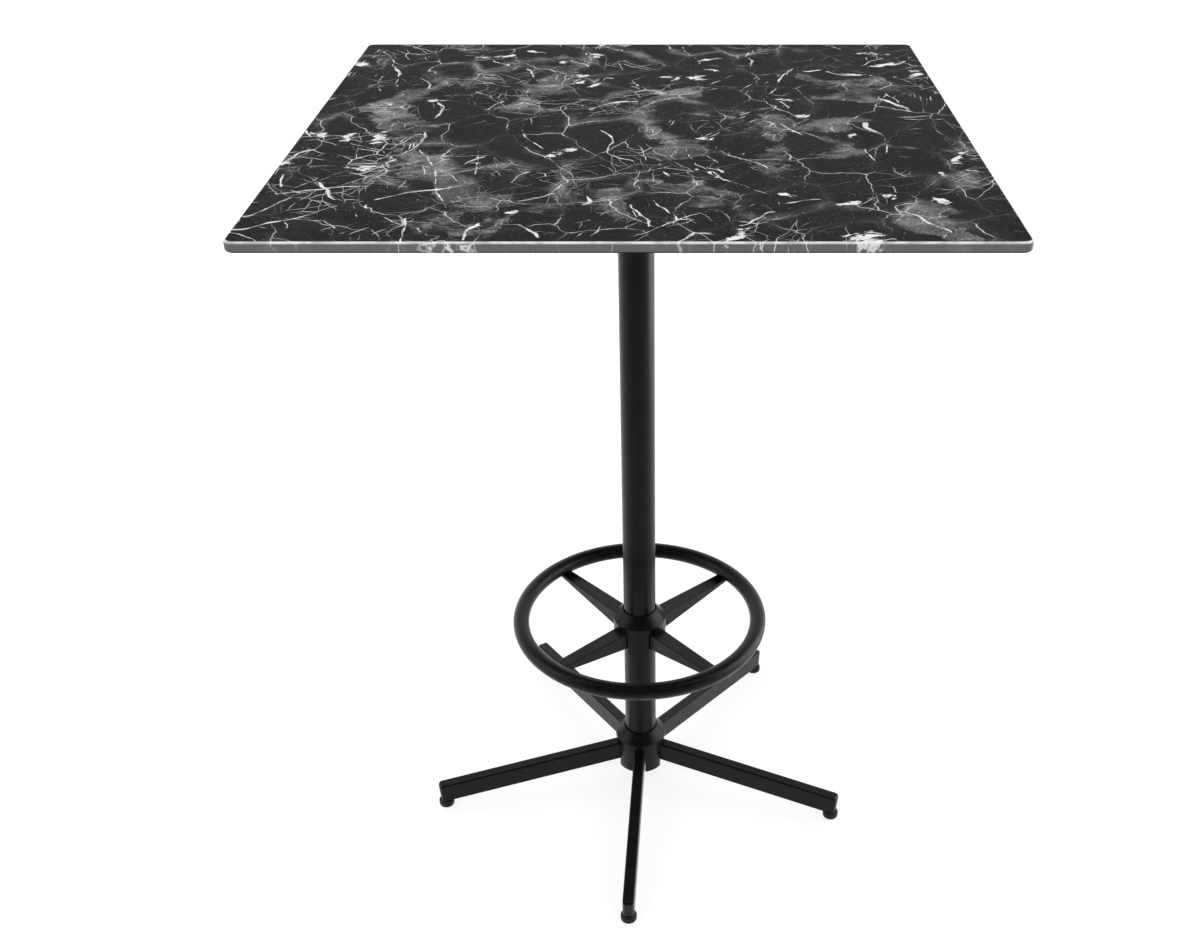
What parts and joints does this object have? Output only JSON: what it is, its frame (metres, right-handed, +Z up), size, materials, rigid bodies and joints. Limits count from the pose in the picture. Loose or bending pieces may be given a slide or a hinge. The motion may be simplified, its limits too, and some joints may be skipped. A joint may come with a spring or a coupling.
{
  "type": "pub table",
  "caption": "Bar-height pedestal table: a square marbled top on a round column with a spoked foot ring and a star base whose sloping legs stand on screw-in levelling glides.",
  "frame": {"origin": "on the floor, on the column's axis under the middle of the top", "axes": "+Z up; +X and +Y along the sides of the top, with the picture taken from the -Y side"},
  "size_m": [0.8128, 0.8128, 1.0668],
  "materials": {
    "top_laminate": "compact laminate with a black marble pattern, white veins and grey clouds, satin sheen",
    "black_powder_coat": "fine-textured satin black powder coat on steel",
    "zinc_steel": "bright zinc plating",
    "brass_insert": "plain turned brass",
    "black_plastic": "moulded black nylon"
  },
  "bodies": {
    "table": {"table_top": "top_laminate", "mounting_plate": "black_powder_coat", "plate_socket": "black_powder_coat", "top_inserts": "brass_insert", "plate_screws": "zinc_steel", "column": "black_powder_coat", "tie_rod": "zinc_steel", "tie_rod_top_nut": "zinc_steel", "tie_rod_bottom_nut": "zinc_steel", "tie_rod_washer": "zinc_steel", "foot_ring": "black_powder_coat", "ring_collar": "black_powder_coat", "ring_shroud": "black_powder_coat", "ring_set_screws": "zinc_steel", "base_core": "black_powder_coat", "base_sleeve": "black_powder_coat", "base_cap": "black_powder_coat", "ring_spoke_1": "black_powder_coat", "ring_spoke_2": "black_powder_coat", "ring_spoke_3": "black_powder_coat", "ring_spoke_4": "black_powder_coat", "leg_1": "black_powder_coat", "leg_2": "black_powder_coat", "leg_3": "black_powder_coat", "leg_4": "black_powder_coat", "leg_5": "black_powder_coat"},
    "pad_1": {"glide_pad_1": "black_plastic"},
    "stud_1": {"glide_stud_1": "zinc_steel"},
    "pad_2": {"glide_pad_2": "black_plastic"},
    "stud_2": {"glide_stud_2": "zinc_steel"},
    "pad_3": {"glide_pad_3": "black_plastic"},
    "stud_3": {"glide_stud_3": "zinc_steel"},
    "pad_4": {"glide_pad_4": "black_plastic"},
    "stud_4": {"glide_stud_4": "zinc_steel"},
    "pad_5": {"glide_pad_5": "black_plastic"},
    "stud_5": {"glide_stud_5": "zinc_steel"}
  },
  "joints": [
    {"name": "glide_1_travel", "type": "slide", "parent": "table", "child": "pad_1", "axis": [0, 0, -1], "range_m": [0, 0.012]},
    {"name": "glide_1_turn", "type": "hinge", "parent": "pad_1", "child": "stud_1", "pos_m": [-0.01387, -0.3177, 0], "axis": [0, 0, -1], "range_deg": [0, 3456]},
    {"name": "glide_2_travel", "type": "slide", "parent": "table", "child": "pad_2", "axis": [0, 0, -1], "range_m": [0, 0.012]},
    {"name": "glide_2_turn", "type": "hinge", "parent": "pad_2", "child": "stud_2", "pos_m": [0.29786, -0.11137, 0], "axis": [0, 0, -1], "range_deg": [0, 3456]},
    {"name": "glide_3_travel", "type": "slide", "parent": "table", "child": "pad_3", "axis": [0, 0, -1], "range_m": [0, 0.012]},
    {"name": "glide_3_turn", "type": "hinge", "parent": "pad_3", "child": "stud_3", "pos_m": [0.19796, 0.24887, 0], "axis": [0, 0, -1], "range_deg": [0, 3456]},
    {"name": "glide_4_travel", "type": "slide", "parent": "table", "child": "pad_4", "axis": [0, 0, -1], "range_m": [0, 0.012]},
    {"name": "glide_4_turn", "type": "hinge", "parent": "pad_4", "child": "stud_4", "pos_m": [-0.17552, 0.26518, 0], "axis": [0, 0, -1], "range_deg": [0, 3456]},
    {"name": "glide_5_travel", "type": "slide", "parent": "table", "child": "pad_5", "axis": [0, 0, -1], "range_m": [0, 0.012]},
    {"name": "glide_5_turn", "type": "hinge", "parent": "pad_5", "child": "stud_5", "pos_m": [-0.30643, -0.08498, 0], "axis": [0, 0, -1], "range_deg": [0, 3456]}
  ],
  "couplings": [
    {"joint": "glide_1_turn", "follows": "glide_1_travel", "rad_per_m": 5026.5},
    {"joint": "glide_2_turn", "follows": "glide_2_travel", "rad_per_m": 5026.5},
    {"joint": "glide_3_turn", "follows": "glide_3_travel", "rad_per_m": 5026.5},
    {"joint": "glide_4_turn", "follows": "glide_4_travel", "rad_per_m": 5026.5},
    {"joint": "glide_5_turn", "follows": "glide_5_travel", "rad_per_m": 5026.5}
  ]
}
